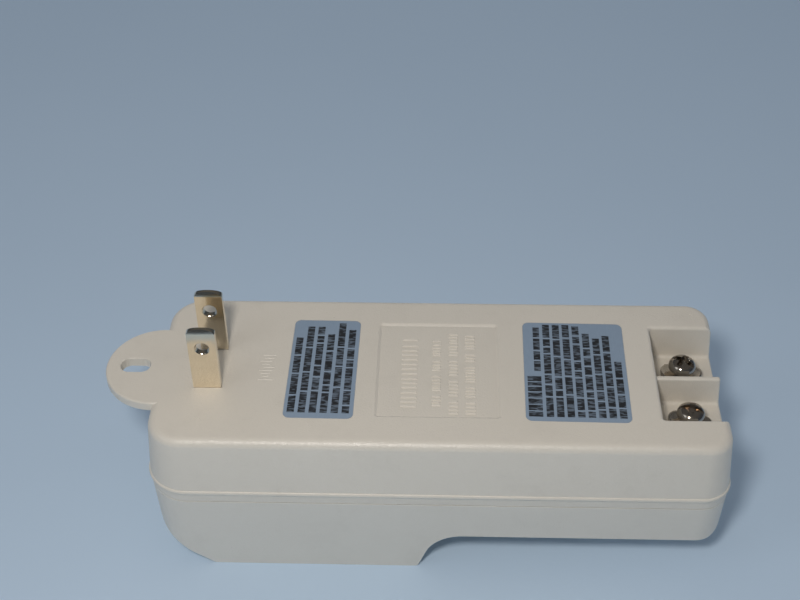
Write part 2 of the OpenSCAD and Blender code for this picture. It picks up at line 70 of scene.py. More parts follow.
# ---- Stations, in mm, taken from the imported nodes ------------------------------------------
COVER_LOW, COVER_HIGH = box_mm("wall_cover")
OUTER_LOW = box_mm("outer_cover")[0]
BLADE_LOW, BLADE_HIGH = box_mm("blade_front")
PLATE_LOW, PLATE_HIGH = box_mm("terminal_plate_front")
SCREW_LOW, SCREW_HIGH = box_mm("terminal_screw_front")
CORE_LOW, CORE_HIGH = box_mm("e_laminations")
FACE_Z = box_mm("small_label")[1].z

# ---- Sizes and the stations that follow from them, in mm -----------------------------------
BODY_W = 48.2
RIDGE_DROP = 15.3           # from the wall face down to the casing's widest line
BAND_H = 2.9                # from that line down to the seam
THIN_H = 29.6               # depth of the thin section
WALL = 2.2
DRAFT_TOP = math.radians(5)
DRAFT_LOW = math.radians(2.3)
DRAFT_TAB = math.radians(4.3)
TAB_CORNER_R = 8
END_CORNER_R = 5.5
EDGE_R = 2.1
BEAD = 0.3
GAP = 0.1

RIDGE_Z = FACE_Z - RIDGE_DROP
SEAM_Z = RIDGE_Z - BAND_H
THIN_Z = FACE_Z - THIN_H
FLARE = RIDGE_DROP * math.tan(DRAFT_TOP)
TAB_R = 12.4
TAB_T = 2.4
X_TAB = COVER_LOW.x + TAB_R
X_END = COVER_HIGH.x - FLARE - BEAD
BLADE_X = (BLADE_LOW.x + BLADE_HIGH.x) / 2
BLADE_Y = -(BLADE_LOW.y + BLADE_HIGH.y) / 2

# Outer face, its two slopes, and the corner radii along the side, from the tab to the end
FLAT_START = 12.3           # from the tab end's station at the wall face
FLAT_L = 47.9
KNEE_SLOPE = math.radians(38.5)         # from level
STEP_SLOPE = math.radians(19.7)         # from upright
KNEE_R = 7.8
FLAT_R = 1
STEP_R = 8.9
HEEL_R = 4

# Terminal bays
BAY_L = 14.7
BAY_W = 30.1
BAY_X = X_END - BAY_L
FLOOR_Z = PLATE_HIGH.z - 1
DIVIDER_T = 1.3
DIVIDER_TOP = FACE_Z - 1.7
SCREW_X = X_END - 7.1
SCREW_Y = (DIVIDER_T + BAY_W) / 4

# Labels, and the sunk panel between them
LABEL_TURNS = {"small_label": -0.5, "large_label": -0.7}        # degrees
LABEL_R = 1.5
LABEL_D = 0.12
PANEL_X = BLADE_X + 52.5
PANEL = (28.3, 31)
PANEL_R = 0.8
PANEL_D = 0.4

THREAD_PITCH = 25.4 / 32    # a 6-32 screw

# ---- Camera, at the photograph's angle -----------------------------------------------------
CAMERA_LENS = 60.65
CAMERA_SENSOR = 36
CAMERA_ANGLES = (-2.224, 41.06, -0.787)                         # yaw, pitch and roll, degrees
CAMERA_FROM_BLADES = (0.05259, -0.22399, 0.2162)                # metres


def link(obj):
    bpy.context.scene.collection.objects.link(obj)
    return obj


def add_camera():
    """Adds the camera and gives its place."""
    data = bpy.data.cameras.new("camera")
    data.sensor_width = CAMERA_SENSOR
    data.lens = CAMERA_LENS
    data.clip_start = 0.01
    camera = link(bpy.data.objects.new("camera", data))
    yaw, pitch, roll = (math.radians(a) for a in CAMERA_ANGLES)
    ahead = Vector((math.sin(yaw) * math.cos(pitch), math.cos(yaw) * math.cos(pitch),
                    -math.sin(pitch)))
    right = ahead.cross(Vector((0, 0, 1))).normalized()
    up = right.cross(ahead)
    rolled_right = right * math.cos(roll) + up * math.sin(roll)
    rolled_up = up * math.cos(roll) - right * math.sin(roll)
    placed = Matrix((rolled_right, rolled_up, -ahead)).transposed().to_4x4()
    x, y, z = CAMERA_FROM_BLADES
    placed.translation = Vector((BLADE_X * MM + x, y, FACE_Z * MM + z))
    camera.matrix_world = placed
    bpy.context.scene.camera = camera
    return placed.translation.copy()


# ---- Mesh helpers --------------------------------------------------------------------------
def solid(name, verts, faces):
    """A closed mesh object with its faces turned outward."""
    mesh = bpy.data.meshes.new(name)
    mesh.from_pydata([tuple(v) for v in verts], [], faces)
    work = bmesh.new()
    work.from_mesh(mesh)
    bmesh.ops.remove_doubles(work, verts=work.verts, dist=1e-5)
    bmesh.ops.recalc_face_normals(work, faces=work.faces)
    work.to_mesh(mesh)
    work.free()
    return link(bpy.data.objects.new(name, mesh))


def loft(name, rings):
    """A solid through rings with the same number of points."""
    n = len(rings[0])
    faces = [[i * n + k, i * n + (k + 1) % n, (i + 1) * n + (k + 1) % n, (i + 1) * n + k]
             for i in range(len(rings) - 1) for k in range(n)]
    faces += [list(range(n)), [(len(rings) - 1) * n + k for k in range(n)]]
    return solid(name, [p for ring in rings for p in ring], faces)


def flat_ring(outline, z):
    return [(x, y, z) for x, y in outline]


def prism(name, outline, z0, z1):
    return loft(name, [flat_ring(outline, z0), flat_ring(outline, z1)])


def along_y(name, outline, y0, y1):
    """A solid of an XZ outline between two Y stations."""
    return loft(name, [[(x, y, z) for x, z in outline] for y in (y0, y1)])


def along_x(name, outline, x0, x1):
    """A solid of a YZ outline between two X stations."""
    return loft(name, [[(x, y, z) for y, z in outline] for x in (x0, x1)])


def brick(name, low, high):
    (x0, y0, z0), (x1, y1, z1) = low, high
    return prism(name, [(x0, y0), (x1, y0), (x1, y1), (x0, y1)], z0, z1)


def circle(x, y, r, steps):
    return [(x + r * math.cos(2 * math.pi * i / steps), y + r * math.sin(2 * math.pi * i / steps))
            for i in range(steps)]


def revolve(name, x, y, profile, steps):
    """A solid of revolution about a vertical axis, from (radius, z) pairs off the axis."""
    return loft(name, [flat_ring(circle(x, y, r, steps), z) for r, z in profile])


def rounded_polygon(points, radii, steps):
    """The outline with each corner rounded by its radius."""
    result = []
    n = len(points)
    for i, (point, r) in enumerate(zip(points, radii)):
        b = Vector(point)
        if r == 0:
            result.append(tuple(b))
            continue
        u = (Vector(points[i - 1]) - b).normalized()
        v = (Vector(points[(i + 1) % n]) - b).normalized()
        half = math.acos(max(-1, min(1, u.dot(v)))) / 2
        centre = b + (u + v).normalized() * r / math.sin(half)
        start = b + u * r / math.tan(half) - centre
        sweep = (math.pi - 2 * half) * (1 if u.x * v.y - u.y * v.x < 0 else -1)
        for k in range(steps + 1):
            t = sweep * k / steps
            result.append((centre.x + start.x * math.cos(t) - start.y * math.sin(t),
                           centre.y + start.x * math.sin(t) + start.y * math.cos(t)))
    return result


def rounded_rect(x, y, size, r, grow, steps):
    a, b, r = size[0] / 2 + grow, size[1] / 2 + grow, r + grow
    corners = [(x - a, y - b), (x + a, y - b), (x + a, y + b), (x - a, y + b)]
    return rounded_polygon(corners, [r] * 4, steps)


def inset_polygon(points, s):
    """Each side of a counter-clockwise outline moved inward by s."""
    result = []
    n = len(points)
    for i in range(n):
        a, b, c = (Vector(points[(i + k) % n]) for k in (-1, 0, 1))
        d, e = (b - a).normalized(), (c - b).normalized()
        p, q = Vector((-d.y, d.x)), Vector((-e.y, e.x))
        result.append(tuple(b + s * (p + q) / (1 + p.dot(q))))
    return result


def turned(points, degrees, x, y):
    """The points of an outline turned about (x, y)."""
    c, s = math.cos(math.radians(degrees)), math.sin(math.radians(degrees))
    return [(x + (px - x) * c - (py - y) * s, y + (px - x) * s + (py - y) * c)
            for px, py in points]


def settle(obj):
    """Turns the object's modifiers into its mesh."""
    deps = bpy.context.evaluated_depsgraph_get()
    mesh = bpy.data.meshes.new_from_object(obj.evaluated_get(deps), depsgraph=deps)
    old, obj.data = obj.data, mesh
    obj.modifiers.clear()
    bpy.data.meshes.remove(old)
    return obj


def combine(obj, operation, *tools):
    for tool in tools:
        change = obj.modifiers.new("change", "BOOLEAN")
        change.object, change.operation, change.solver = tool, operation, "EXACT"
        settle(obj)
        bpy.data.meshes.remove(tool.data)
    return obj


def cut(obj, *tools):
    return combine(obj, "DIFFERENCE", *tools)


def add(obj, *tools):
    return combine(obj, "UNION", *tools)


def common(obj, *tools):
    return combine(obj, "INTERSECT", *tools)


def round_edges(obj, pick, segments, angle):
    """Rounds edges sharper than the angle. pick(middle) gives a radius, or 0 to leave one sharp."""
    work = bmesh.new()
    work.from_mesh(obj.data)
    bmesh.ops.remove_doubles(work, verts=work.verts, dist=2e-4)
    bmesh.ops.dissolve_degenerate(work, edges=work.edges, dist=1e-4)
    layer = work.edges.layers.float.new("bevel_weight_edge")
    for edge in work.edges:
        if len(edge.link_faces) == 2 and edge.calc_face_angle(0) > math.radians(angle):
            edge[layer] = pick((edge.verts[0].co + edge.verts[1].co) / 2)
    work.to_mesh(obj.data)
    work.free()
    change = obj.modifiers.new("edges", "BEVEL")
    change.limit_method, change.width, change.segments = "WEIGHT", 1, segments
    change.use_clamp_overlap = True
    change.miter_outer = "MITER_ARC"
    return settle(obj)


def finish_piece(obj, body, materials, *nodes, slot, sharp=32):
    """To metres, shaded by angle, riding on its body in place of its CAD nodes."""
    obj.data.transform(Matrix.Scale(MM, 4))
    obj.data.polygons.foreach_set("use_smooth", [True] * len(obj.data.polygons))
    obj.data.set_sharp_from_angle(angle=math.radians(sharp))
    change = obj.modifiers.new("normals", "WEIGHTED_NORMAL")
    change.keep_sharp = True
    settle(obj)
    obj.data.materials.clear()
    for material in materials:
        obj.data.materials.append(material)
    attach(obj, body)
    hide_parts(*nodes)
    return obj


def end_name(side):
    return "front" if side < 0 else "back"


# ---- Casing --------------------------------------------------------------------------------
def plan(s):
    """The casing's plan outline, s outside its outline at the face."""
    steps = 16
    tab_x, end_x = X_TAB + TAB_CORNER_R, X_END - END_CORNER_R
    points = []
    for cx, r, side, start in ((end_x, END_CORNER_R, 1, 0), (tab_x, TAB_CORNER_R, 1, 90),
                               (tab_x, TAB_CORNER_R, -1, 180), (end_x, END_CORNER_R, -1, 270)):
        for i in range(steps + 1):
            a = math.radians(start + 90 * i / steps)
            points.append((cx + (r + s) * math.cos(a),
                           side * (BODY_W / 2 - r) + (r + s) * math.sin(a)))
    return points


def skin(name, profile):
    """A casing form from (offset, z) pairs, bottom to top."""
    return loft(name, [flat_ring(plan(s), z) for s, z in profile])


def top_s(z):
    """How far the wall above the widest line stands outside the outline at the face."""
    return (FACE_Z - z) * math.tan(DRAFT_TOP)


def low_s(z):
    """The same for the wall below it."""
    return FLARE - (RIDGE_Z - z) * math.tan(DRAFT_LOW)


def cap_profile():
    """The wall-side cover: a stepped seam edge, the band, the bead, the wall and the top edge."""
    seam_step, bead_half, bead_steps, edge_steps = 0.06, 2 * BEAD, 10, 12
    rows = [(low_s(SEAM_Z) - seam_step, SEAM_Z + 0.03), (low_s(SEAM_Z), SEAM_Z + 0.1),
            (low_s(RIDGE_Z - bead_half), RIDGE_Z - bead_half)]
    for i in range(1, bead_steps):
        a = math.pi * (i / bead_steps - 0.5)
        z = RIDGE_Z + bead_half * math.sin(a)
        base = low_s(z) if z < RIDGE_Z else top_s(z)
        rows.append((base + BEAD * math.cos(a), z))
    rows.append((top_s(RIDGE_Z + bead_half), RIDGE_Z + bead_half))
    centre = top_s(FACE_Z - EDGE_R) - EDGE_R / math.cos(DRAFT_TOP)
    for i in range(edge_steps + 1):
        a = DRAFT_TOP + (math.pi / 2 - DRAFT_TOP) * i / edge_steps
        rows.append((centre + EDGE_R * math.cos(a), FACE_Z - EDGE_R + EDGE_R * math.sin(a)))
    return rows


def tab():
    """The fixing tab, a plate rounded at its rim."""
    soft, soft_steps, foot, foot_steps = 0.45, 8, 0.3, 4
    rows = [(TAB_R - foot + foot * math.sin(a), FACE_Z - TAB_T + foot - foot * math.cos(a))
            for a in (math.pi / 2 * i / foot_steps for i in range(foot_steps + 1))]
    rows += [(TAB_R - soft + soft * math.cos(a), FACE_Z - soft + soft * math.sin(a))
             for a in (math.pi / 2 * i / soft_steps for i in range(soft_steps + 1))]
    return revolve("tab", X_TAB, 0, rows, 144)


def flared(name, outline_at, bottom, r):
    """A cutter that goes up from bottom and widens by r where it meets the face."""
    steps, sweep = 8, math.radians(86)
    rings = [flat_ring(outline_at(0), bottom)]
    for i in range(steps):
        a = sweep * i / (steps - 1)
        rings.append(flat_ring(outline_at(r * (1 - math.cos(a))), FACE_Z - r + r * math.sin(a)))
    rings.append(flat_ring(outline_at(r), FACE_Z + 1))
    return loft(name, rings)


def fixing_slot():
    x, size, end_r, mouth_r = X_TAB - 5.6, (7, 4.4), 2.19, 0.22
    return flared("slot", lambda s: rounded_rect(x, 0, size, end_r, s, 12),
                  FACE_Z - TAB_T - 1, mouth_r)


def bay_section(s):
    """The two bays across the case, s larger all round, and a divider that ends below the face."""
    w, d = BAY_W / 2 + s, DIVIDER_T / 2 - s
    low, top, over = FLOOR_Z - s, DIVIDER_TOP - s, FACE_Z + 2
    foot_r, crest_r = 0.9, d * 0.8
    points = [(-w, over), (-w, low), (-d, low), (-d, top), (d, top), (d, low), (w, low), (w, over)]
    return rounded_polygon(points, [0, foot_r, foot_r, crest_r, crest_r, foot_r, foot_r, 0], 6)


def bay_cutter():
    """The terminal bays as one form, open at the end wall, with rounded mouths at face and end."""
    corner_r, face_r, end_r = 0.7, 0.8, 0.45
    end_steps, sweep = 7, math.radians(80)

    def back_wall(m):
        return corner_r if abs(m.x - BAY_X) < 0.01 and m.z < FACE_Z + 1 else 0

    form = along_x("bays", bay_section(0), BAY_X, X_END + 6)
    round_edges(form, back_wall, segments=5, angle=40)
    middle, size = BAY_X + BAY_L, (2 * BAY_L, BAY_W)
    mouth = flared("mouth", lambda s: rounded_rect(middle, 0, size, corner_r, s, 8),
                   DIVIDER_TOP + 0.3, face_r)
    rings = []
    for i in range(-1, end_steps + 1):
        a = sweep * max(i, 0) / end_steps
        inside = 0.5 if i < 0 else 0
        rings.append([(X_END + top_s(z) - end_r + end_r * math.sin(a) - inside, y, z)
                      for y, z in bay_section(end_r * (1 - math.cos(a)))])
    rings.append([(x + 3, y, z) for x, y, z in rings[-1]])
    return add(form, mouth, loft("end_mouth", rings))


def label_place(node):
    """The label's middle, width and length."""
    low, high = box_mm(node)
    return (low.x + high.x) / 2, (low.y + high.y) / 2, high.x - low.x, high.y - low.y


def label_pocket(node):
    x, y, w, h = label_place(node)
    outline = turned(rounded_rect(x, y, (w, h), LABEL_R, GAP, 8), LABEL_TURNS[node], x, y)
    return prism("pocket", outline, FACE_Z - LABEL_D, FACE_Z + 1)


def panel_cutter():
    """The sunk panel: a sloped rim with a soft upper edge, in (offset, z) pairs."""
    rows = [(-0.55, FACE_Z - PANEL_D), (-0.1, FACE_Z - 0.09), (0.1, FACE_Z - 0.01),
            (0.1, FACE_Z + 1)]
    return loft("panel", [flat_ring(rounded_rect(PANEL_X, 0, PANEL, PANEL_R, s, 5), z)
                          for s, z in rows])


def word_lengths(seed, total, shortest, longest, space):
    """(start, length) of the words in a row: varied lengths that fill the total. The lengths come
    from a small congruential draw, always the same for a seed."""
    lengths, used, state = [], -space, seed * 7919 % 65521
    while used + space + shortest < total or not lengths:
        state = (state * 75 + 74) % 65537
        lengths.append(shortest + (longest - shortest) * state / 65537)
        used += lengths[-1] + space
    fit = (total - space * (len(lengths) - 1)) / sum(lengths)
    words, at = [], 0.0
    for length in lengths:
        words.append((at, length * fit))
        at += length * fit + space
    return words


# Rows of raised bars in the panel: start and end across it, start and end along it, as shares of
# its size, then the strokes' pitch and the shortest and longest group, in mm
PANEL_ROWS = ((0.20, 0.33, 0.10, 0.86, 1.5, 20.0, 23.0), (0.45, 0.52, 0.12, 0.83, 0.85, 3.4, 6.4),
              (0.585, 0.66, 0.04, 0.90, 0.85, 2.6, 6.8), (0.72, 0.80, 0.04, 0.89, 0.85, 2.8, 6.0))
PANEL_BAR_H = 0.3
# The bars by the blades, a row of strokes with ragged ends, measured from the blades
MARK_BARS = 9
MARK_BAR_H = 0.1
MARK_X = (11.2, 14.7)
MARK_RAGGED = (0.45, 0.4)
MARK_Y = -4.2
MARK_STEP = 1.02


def bar_places():
    """Each raised bar's start and end in x, its y, the level it stands on and its height."""
    low_x, low_y = PANEL_X - PANEL[0] / 2, -PANEL[1] / 2
    places = []
    for k, (x0, x1, y0, y1, pitch, shortest, longest) in enumerate(PANEL_ROWS):
        row = word_lengths(k + 3, (y1 - y0) * PANEL[1], shortest, longest, pitch * 1.4)
        for start, length in row:
            for at, size in word_lengths(k + 17, length, 0.7 * pitch, 1.5 * pitch, 0.0):
                places.append((low_x + x0 * PANEL[0], low_x + x1 * PANEL[0],
                               low_y + y0 * PANEL[1] + start + at + size / 2,
                               FACE_Z - PANEL_D, PANEL_BAR_H))
    for i in range(MARK_BARS):
        places.append((BLADE_X + MARK_X[0] + MARK_RAGGED[0] * (i * 5 % 3),
                       BLADE_X + MARK_X[1] - MARK_RAGGED[1] * (i * 7 % 4),
                       MARK_Y + MARK_STEP * i, FACE_Z, MARK_BAR_H))
    return places


def raised_bars():
    """Generic raised marks: groups of short strokes in the panel, and one by the blades."""
    verts, faces = [], []
    for x0, x1, y, z, height in bar_places():
        n = len(verts)
        for level, wide, short in ((-0.05, 0.26, 0), (0.5 * height, 0.19, 0.05),
                                   (height, 0.09, 0.16)):
            verts += [(x0 + short, y - wide, z + level), (x1 - short, y - wide, z + level),
                      (x1 - short, y + wide, z + level), (x0 + short, y + wide, z + level)]
        for r in (0, 4):
            faces += [[n + r + k, n + r + (k + 1) % 4, n + r + 4 + (k + 1) % 4, n + r + 4 + k]
                      for k in range(4)]
        faces += [[n, n + 1, n + 2, n + 3], [n + 8, n + 9, n + 10, n + 11]]
    return solid("bars", verts, faces)


def cover_cavity():
    """The hollow of the wall-side cover, with the tray, the blade ribs and the bosses left."""
    hollow = skin("hollow", [(FLARE - WALL, SEAM_Z - 1), (FLARE - WALL, RIDGE_Z),
                             (top_s(FACE_Z - WALL) - WALL, FACE_Z - WALL)])
    tray = brick("tray", (BAY_X - WALL, -BAY_W / 2 - WALL, FLOOR_Z - 2),
                 (X_END + 2 * FLARE, BAY_W / 2 + WALL, FACE_Z))
    rib_h, rib_t, inner = 4.0, 1.3, (6.9, 12.1)
    outer = (inner[0] + rib_t, inner[1] + rib_t)
    ribs = brick("ribs", (BLADE_X - outer[0], -outer[1], FACE_Z - WALL - rib_h),
                 (BLADE_X + outer[0], outer[1], FACE_Z - WALL + 1))
    cut(ribs, brick("rib_hole", (BLADE_X - inner[0], -inner[1], FACE_Z - WALL - rib_h - 1),
                    (BLADE_X + inner[0], inner[1], FACE_Z)))
    cut(hollow, tray, ribs)
    boss_r, boss_h = 3.2, 7.6
    for side in (-1, 1):
        cut(hollow, revolve("boss", SCREW_X, side * SCREW_Y,
                            [(boss_r, FLOOR_Z - boss_h), (boss_r, FLOOR_Z - 1)], 48))
    return hollow


def wall_cover():
    """The wall-side cover, with its tab, bays, panel, label pockets and raised bars."""
    cover = skin("wall_cover_shell", cap_profile())
    add(cover, tab())
    cut(cover, fixing_slot(), bay_cutter())
    cut(cover, panel_cutter(), label_pocket("small_label"), label_pocket("large_label"))
    ejector_at, ejector = (BLADE_X - 1.15, -17.87), [(1.3, FACE_Z - 0.08), (1.38, FACE_Z + 0.5)]
    cut(cover, revolve("ejector", *ejector_at, ejector, 40))
    gate_at, gate = (BLADE_X + 112.8, 19.8), [(0.3, FACE_Z - 0.1), (0.45, FACE_Z + 0.3)]
    cut(cover, revolve("gate", *gate_at, gate, 24))
    cut(cover, cover_cavity())
    bore_r, bore_h = 2.1, 6.6
    tail_x, tail_t, tail_w, tail_h = PLATE_LOW.x + 0.45, 0.55, 1.6, 2.5
    blade_w, blade_t = 3.225, 0.81
    for side in (-1, 1):
        y, blade_y = side * SCREW_Y, side * BLADE_Y
        cut(cover, revolve("pocket", SCREW_X, y,
                           [(bore_r, FLOOR_Z - bore_h), (bore_r, FLOOR_Z + 1)], 40),
            brick("tail_slot", (tail_x - tail_t, y - tail_w, FLOOR_Z - tail_h),
                  (tail_x + tail_t, y + tail_w, FLOOR_Z + 0.5)))
        cut(cover, brick("blade_slot", (BLADE_X - blade_w, blade_y - blade_t, FACE_Z - 4),
                         (BLADE_X + blade_w, blade_y + blade_t, FACE_Z + 1)))
    add(cover, raised_bars())
    return cover


def side_corners(top_z):
    """The outer cover's side outline in XZ, up to a level: tab end, knee, flat, step, far end."""
    flat_x0 = X_TAB + FLAT_START
    flat_x1 = flat_x0 + FLAT_L

    def tab_wall(z):
        return X_TAB - FLARE + (RIDGE_Z - z) * math.tan(DRAFT_TAB)

    def end_wall(z):
        return X_END + FLARE - (RIDGE_Z - z) * math.tan(DRAFT_LOW)

    knee_z = (flat_x0 - tab_wall(0)) / (1 / math.tan(KNEE_SLOPE) - math.tan(DRAFT_TAB))
    return [(tab_wall(top_z), top_z), (tab_wall(knee_z), knee_z), (flat_x0, 0), (flat_x1, 0),
            (flat_x1 + THIN_Z * math.tan(STEP_SLOPE), THIN_Z), (end_wall(THIN_Z), THIN_Z),
            (end_wall(top_z), top_z)]


def outer_cover():
    """The stepped outer cover, hollow, with core posts and a lip that goes into the other cover."""
    rim_r = 0.6

    def outer_rim(m):
        return rim_r if m.z < SEAM_Z - rim_r and abs(m.y) > BODY_W / 2 - 9.5 else 0

    radii = [0, KNEE_R, FLAT_R, FLAT_R, STEP_R, HEEL_R, 0]
    cover = along_y("outer_cover_shell", rounded_polygon(side_corners(SEAM_Z), radii, 14),
                    -BODY_W, BODY_W)
    common(cover, skin("low", [(low_s(-1), -1), (low_s(SEAM_Z - 0.2), SEAM_Z - 0.2),
                               (low_s(SEAM_Z) - 0.05, SEAM_Z - 0.15)]))
    round_edges(cover, outer_rim, segments=4, angle=32)
    inner_radii = [0, KNEE_R - WALL, 0, 0, STEP_R + WALL, HEEL_R - WALL, 0]
    inner_side = rounded_polygon(inset_polygon(side_corners(FACE_Z), WALL), inner_radii, 8)
    inner = along_y("inner", inner_side, -BODY_W, BODY_W)
    common(inner, skin("inner_low", [(low_s(-1) - WALL, -1),
                                     (low_s(SEAM_Z + 1) - WALL, SEAM_Z + 1)]))
    core_x = (CORE_LOW.x + CORE_HIGH.x) / 2
    post, post_x, post_y = 2.5, 21.5, 17.5
    guide_x, guide_t, guide_h = 3.4, 0.8, 6
    for sx in (-1, 1):
        for sy in (-1, 1):
            x, y = core_x + sx * post_x, sy * post_y
            cut(inner, brick("post", (x - post, y - post, -0.5),
                             (x + post, y + post, CORE_LOW.z - GAP)))
            guide = x + sx * guide_x
            cut(inner, brick("guide", (guide - guide_t, y - post, -0.5),
                             (guide + guide_t, y + post, CORE_LOW.z + guide_h)))
    cut(cover, inner)
    outside = FLARE - WALL - GAP
    lip = skin("lip", [(low_s(SEAM_Z - WALL) - WALL / 2, SEAM_Z - WALL),
                       (low_s(SEAM_Z - 0.3) - WALL / 2, SEAM_Z - 0.3),
                       (outside, SEAM_Z - 0.2), (outside, SEAM_Z + 1.7),
                       (outside - 0.25, SEAM_Z + 2)])
    cut(lip, skin("lip_hole", [(outside - 1, SEAM_Z - WALL - 1), (outside - 1, SEAM_Z + 3)]))
    add(cover, lip)
    return cover


# ---- Blades --------------------------------------------------------------------------------
def blade(side):
    """A flat blade with an arched, thinned tip, a chamfered hole, and shoulders in the casing."""
    w, t, out, foot = 6.35, 1.52, BLADE_HIGH.z, BLADE_LOW.z
    arch_h, arch_round, arch_steps = 1.56, 0.96, 24
    arch = []
    for i in range(arch_steps + 1):
        x = w / 2 - w * i / arch_steps
        u = 2 * x / w
        arch.append((x, out - arch_h * (1 - math.sqrt(1 - arch_round * u * u))))
    shoulder, shoulder_h, tail = 4.3, 1.9, 2
    top = FACE_Z - WALL - GAP
    low = top - shoulder_h
    outline = [(-w / 2, top), (-shoulder, top), (-shoulder, low), (-tail, low), (-tail, foot),
               (tail, foot), (tail, low), (shoulder, low), (shoulder, top), (w / 2, top)] + arch
    y = side * BLADE_Y
    body = along_y("blade_%s_metal" % end_name(side), [(BLADE_X + x, z) for x, z in outline],
                   y - t / 2, y + t / 2)
    tip_h, tip_t, tip_steps = 1.25, 0.3, 8
    taper = [(-t / 2, foot - 1), (t / 2, foot - 1), (t / 2, out - tip_h)]
    for i in range(1, tip_steps + 1):
        a = i / tip_steps
        taper.append((t / 2 - (t / 2 - tip_t) * (0.75 * a + 0.25 * a * a),
                      out - tip_h + tip_h * a))
    taper += [(-across, z) for across, z in taper[:1:-1]]
    common(body, along_x("taper", [(y + across, z) for across, z in taper],
                         BLADE_X - 9, BLADE_X + 9))
    hole_z, hole_r, lead, hole_steps = FACE_Z + 12, 1.59, 0.16, 48
    rings = [(-t / 2 - 1, hole_r + lead), (-t / 2, hole_r + lead), (-t / 2 + lead, hole_r),
             (t / 2 - lead, hole_r), (t / 2, hole_r + lead), (t / 2 + 1, hole_r + lead)]
    cut(body, loft("hole", [[(BLADE_X + r * math.cos(a), y + across, hole_z + r * math.sin(a))
                             for a in (2 * math.pi * k / hole_steps for k in range(hole_steps))]
                            for across, r in rings]))
    return round_edges(body, lambda m: 0.11, segments=3, angle=30)


# ---- Labels --------------------------------------------------------------------------------
# Rows of printed bars: start and end across the label, start and end along it, as shares of its
# size, then the shortest bar, the longest bar and the space between bars, in mm
SMALL_ROWS = [(0.05 + 0.157 * k, 0.155 + 0.157 * k, 0.05, end, 2.0, 7.5, 0.5)
              for k, end in enumerate((0.81, 0.93, 0.93, 0.85, 0.97, 0.90))]
LARGE_ROWS = [(0.03, 0.165, 0.04, 0.435, 1.0, 1.7, 0.32), (0.10, 0.165, 0.49, 0.95, 1.4, 4.6, 0.5)]
LARGE_ROWS += [(0.198 + 0.0985 * k, 0.268 + 0.0985 * k, 0.04, end, 1.7, 6.8, 0.5)
               for k, end in enumerate((0.98, 0.98, 0.98, 0.97, 0.89, 0.84, 0.87, 0.60))]
INK_FOOT = 0.002
INK_TOP = 0.014


def label(node, rows):
    """Label stock with rounded corners, with rows of generic printed bars on it as a film of ink.
    Gives the object and how many of its faces are stock."""
    x, y, w, h = label_place(node)
    outline, rim = (rounded_rect(x, y, (w, h), LABEL_R, grow, 10) for grow in (0, -0.04))
    base = loft(node + "_stock", [flat_ring(outline, FACE_Z - LABEL_D),
                                  flat_ring(outline, FACE_Z - 0.03), flat_ring(rim, FACE_Z)])
    verts = [tuple(v.co) for v in base.data.vertices]
    faces = [list(p.vertices) for p in base.data.polygons]
    bpy.data.meshes.remove(base.data)
    stock_faces = len(faces)
    for k, (x0, x1, y0, y1, shortest, longest, space) in enumerate(rows):
        a, b = x - w / 2 + x0 * w, x - w / 2 + x1 * w
        for start, length in word_lengths(k + 11, (y1 - y0) * h, shortest, longest, space):
            c = y - h / 2 + y0 * h + start
            d = c + length
            n = len(verts)
            verts += [(px, py, FACE_Z + level) for level in (INK_FOOT, INK_TOP)
                      for px, py in ((a, c), (b, c), (b, d), (a, d))]
            faces += [[n + 3, n + 2, n + 1, n], [n + 4, n + 5, n + 6, n + 7]]
            faces += [[n + i, n + (i + 1) % 4, n + 4 + (i + 1) % 4, n + 4 + i] for i in range(4)]
    flat = turned([v[:2] for v in verts], LABEL_TURNS[node], x, y)
    mesh = bpy.data.meshes.new(node + "_print")
    mesh.from_pydata([(px, py, v[2]) for (px, py), v in zip(flat, verts)], [], faces)
    return link(bpy.data.objects.new(node + "_print", mesh)), stock_faces


# ---- Terminals -----------------------------------------------------------------------------
def placed_at_terminal(obj, side, z, degrees):
    obj.data.transform(Matrix.Translation((SCREW_X, side * SCREW_Y, z))
                       @ Matrix.Rotation(math.radians(degrees), 4, "Z"))
    return obj


def washer(side):
    """An oval plate washer whose rounded ends are dished upward."""
    reach, half, power = 4.9, 2.95, 2.3             # the oval's half sizes and its exponent
    bore, thick, rise, rise_start = 1.55, 0.8, 0.4, 2.9
    steps, spread_steps = 120, 10

    def lift(r):
        u = max(0, (r - rise_start) / (reach - rise_start))
        return rise * u * u * (1.5 - 0.5 * u)

    loops = []
    for k in range(steps):
        a = 2 * math.pi * k / steps
        edge = (abs(math.cos(a) / reach) ** power
                + abs(math.sin(a) / half) ** power) ** (-1 / power)
        low, high = lift(edge), lift(edge) + thick
        spread = [bore + (edge - 0.2 - bore) * i / spread_steps for i in range(spread_steps + 1)]
        profile = [(r, lift(r)) for r in spread]
        profile += [(edge - 0.06, low + 0.06), (edge, low + 0.2), (edge, high - 0.28),
                    (edge - 0.08, high - 0.08)]
        profile += [(r, lift(r) + thick) for r in reversed(spread[1:])]
        profile += [(bore + 0.12, thick), (bore, thick - 0.12)]
        loops.append([(r * math.cos(a), r * math.sin(a), z) for r, z in profile])
    n = len(loops[0])
    faces = [[i * n + k, i * n + (k + 1) % n, (i + 1) % steps * n + (k + 1) % n,
              (i + 1) % steps * n + k] for i in range(steps) for k in range(n)]
    body = solid("clamp_washer_%s_metal" % end_name(side), [p for loop in loops for p in loop],
                 faces)
    return placed_at_terminal(body, side, PLATE_HIGH.z, -4 if side > 0 else -13)


